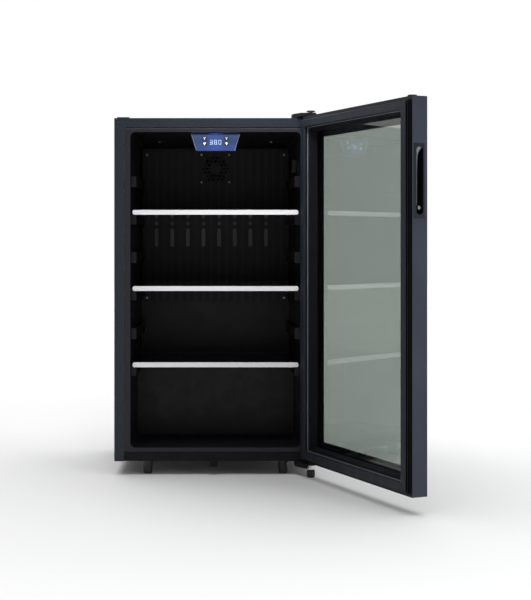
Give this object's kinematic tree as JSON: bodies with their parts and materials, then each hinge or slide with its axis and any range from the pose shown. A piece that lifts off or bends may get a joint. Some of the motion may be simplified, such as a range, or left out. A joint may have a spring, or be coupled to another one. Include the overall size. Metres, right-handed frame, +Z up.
{
  "type": "mini fridge",
  "caption": "Free-standing glass-door beverage fridge with pull-out shelves, ceiling display with keys, edge-grip door on a side hinge and levelling feet.",
  "frame": {"origin": "middle of the footprint on the floor, with the door open at rest", "axes": "+Z up, +X to the hinge side (the viewer's right), +Y from the door to the back"},
  "size_m": [0.6688, 0.8482, 0.8606],
  "materials": {
    "shell_paint": "satin",
    "base_steel": "satin",
    "beam_plastic": "satin",
    "liner_plastic": "gloss",
    "dark_plastic": "matte",
    "rotor_plastic": "satin",
    "foam": "matte",
    "evaporator_aluminium": "satin",
    "display_face": "gloss",
    "key_face": "gloss",
    "lamp": "gloss",
    "circuit_board": "satin",
    "shelf_glass": "gloss",
    "shelf_trim": "satin",
    "compressor_paint": "satin",
    "black_plastic": "satin",
    "copper": "satin",
    "condenser_steel": "satin",
    "foot_plastic": "gloss",
    "hinge_steel": "satin",
    "hinge_paint": "satin",
    "zinc": "satin",
    "door_frame": "satin",
    "door_glass": "gloss",
    "gasket_rubber": "matte"
  },
  "bodies": {
    "cabinet": {"left_side_panel": "shell_paint", "right_side_panel": "shell_paint", "top_panel": "shell_paint", "back_panel": "shell_paint", "base_plate": "base_steel", "front_beam": "beam_plastic", "inner_liner": "liner_plastic", "beam_clip": "dark_plastic", "hinge_hole_cap": "dark_plastic", "duct_cover": "dark_plastic", "fan_frame": "dark_plastic", "temperature_sensor": "dark_plastic", "display_housing": "dark_plastic", "drip_tray": "dark_plastic", "foam_insulation": "foam", "evaporator": "evaporator_aluminium", "display_panel": "display_face", "lamp_lens": "lamp", "control_board": "circuit_board", "compressor": "compressor_paint", "terminal_cover": "black_plastic", "cord_gland": "black_plastic", "discharge_pipe": "copper", "suction_pipe": "copper", "filter_drier": "copper", "condenser_coil": "condenser_steel", "upper_hinge_pin": "hinge_steel", "upper_hinge_bracket": "hinge_paint", "lower_hinge_bracket": "hinge_paint", "lower_hinge_pin": "zinc", "hinge_nut": "zinc"},
    "door": {"bottom_rail": "door_frame", "hinge_stile": "door_frame", "top_rail": "door_frame", "handle_stile": "door_frame", "handle_insert": "dark_plastic", "door_end_cap": "dark_plastic", "outer_pane": "door_glass", "inner_pane": "door_glass", "glass_spacer": "black_plastic", "inner_trim": "dark_plastic", "door_gasket": "gasket_rubber", "upper_hinge_bush": "dark_plastic", "lower_hinge_bush": "dark_plastic"},
    "lower_shelf": {"lower_shelf_pane": "shelf_glass", "lower_shelf_trim": "shelf_trim"},
    "middle_shelf": {"middle_shelf_pane": "shelf_glass", "middle_shelf_trim": "shelf_trim"},
    "upper_shelf": {"upper_shelf_pane": "shelf_glass", "upper_shelf_trim": "shelf_trim"},
    "fan": {"fan_rotor": "rotor_plastic"},
    "left_up_key_body": {"left_up_key": "key_face"},
    "left_down_key_body": {"left_down_key": "key_face"},
    "right_up_key_body": {"right_up_key": "key_face"},
    "right_down_key_body": {"right_down_key": "key_face"},
    "front_left_foot_body": {"front_left_foot": "foot_plastic"},
    "front_right_foot_body": {"front_right_foot": "foot_plastic"},
    "rear_left_foot_body": {"rear_left_foot": "foot_plastic"},
    "rear_right_foot_body": {"rear_right_foot": "foot_plastic"},
    "hinge_foot_body": {"hinge_foot": "foot_plastic"}
  },
  "joints": [
    {"name": "door_hinge", "type": "hinge", "parent": "cabinet", "child": "door", "pos_m": [0.1296, 0.0062, 0], "axis": [0, 0, 1], "range_deg": [-113.5, 16.5]},
    {"name": "lower_shelf_slide", "type": "slide", "parent": "cabinet", "child": "lower_shelf", "axis": [0, -1, 0], "range_m": [0, 0.24]},
    {"name": "middle_shelf_slide", "type": "slide", "parent": "cabinet", "child": "middle_shelf", "axis": [0, -1, 0], "range_m": [0, 0.24]},
    {"name": "upper_shelf_slide", "type": "slide", "parent": "cabinet", "child": "upper_shelf", "axis": [0, -1, 0], "range_m": [0, 0.24]},
    {"name": "fan_spin", "type": "hinge", "parent": "cabinet", "child": "fan", "pos_m": [-0.0944, 0.3682, 0.745], "axis": [0, 1, 0], "continuous": true},
    {"name": "left_up_key_press", "type": "slide", "parent": "cabinet", "child": "left_up_key_body", "axis": [0, 1, 0], "range_m": [0, 0.0008], "stiffness_N_per_m": 1500, "springref_m": -0.0005},
    {"name": "left_down_key_press", "type": "slide", "parent": "cabinet", "child": "left_down_key_body", "axis": [0, 1, 0], "range_m": [0, 0.0008], "stiffness_N_per_m": 1500, "springref_m": -0.0005},
    {"name": "right_up_key_press", "type": "slide", "parent": "cabinet", "child": "right_up_key_body", "axis": [0, 1, 0], "range_m": [0, 0.0008], "stiffness_N_per_m": 1500, "springref_m": -0.0005},
    {"name": "right_down_key_press", "type": "slide", "parent": "cabinet", "child": "right_down_key_body", "axis": [0, 1, 0], "range_m": [0, 0.0008], "stiffness_N_per_m": 1500, "springref_m": -0.0005},
    {"name": "front_left_foot_turn", "type": "hinge", "parent": "cabinet", "child": "front_left_foot_body", "pos_m": [-0.2559, 0.0602, 0], "axis": [0, 0, 1], "continuous": true},
    {"name": "front_right_foot_turn", "type": "hinge", "parent": "cabinet", "child": "front_right_foot_body", "pos_m": [0.0671, 0.0602, 0], "axis": [0, 0, 1], "continuous": true},
    {"name": "rear_left_foot_turn", "type": "hinge", "parent": "cabinet", "child": "rear_left_foot_body", "pos_m": [-0.2559, 0.3942, 0], "axis": [0, 0, 1], "continuous": true},
    {"name": "rear_right_foot_turn", "type": "hinge", "parent": "cabinet", "child": "rear_right_foot_body", "pos_m": [0.0671, 0.3942, 0], "axis": [0, 0, 1], "continuous": true},
    {"name": "hinge_foot_turn", "type": "hinge", "parent": "cabinet", "child": "hinge_foot_body", "pos_m": [0.1296, 0.0062, 0], "axis": [0, 0, 1], "continuous": true}
  ]
}
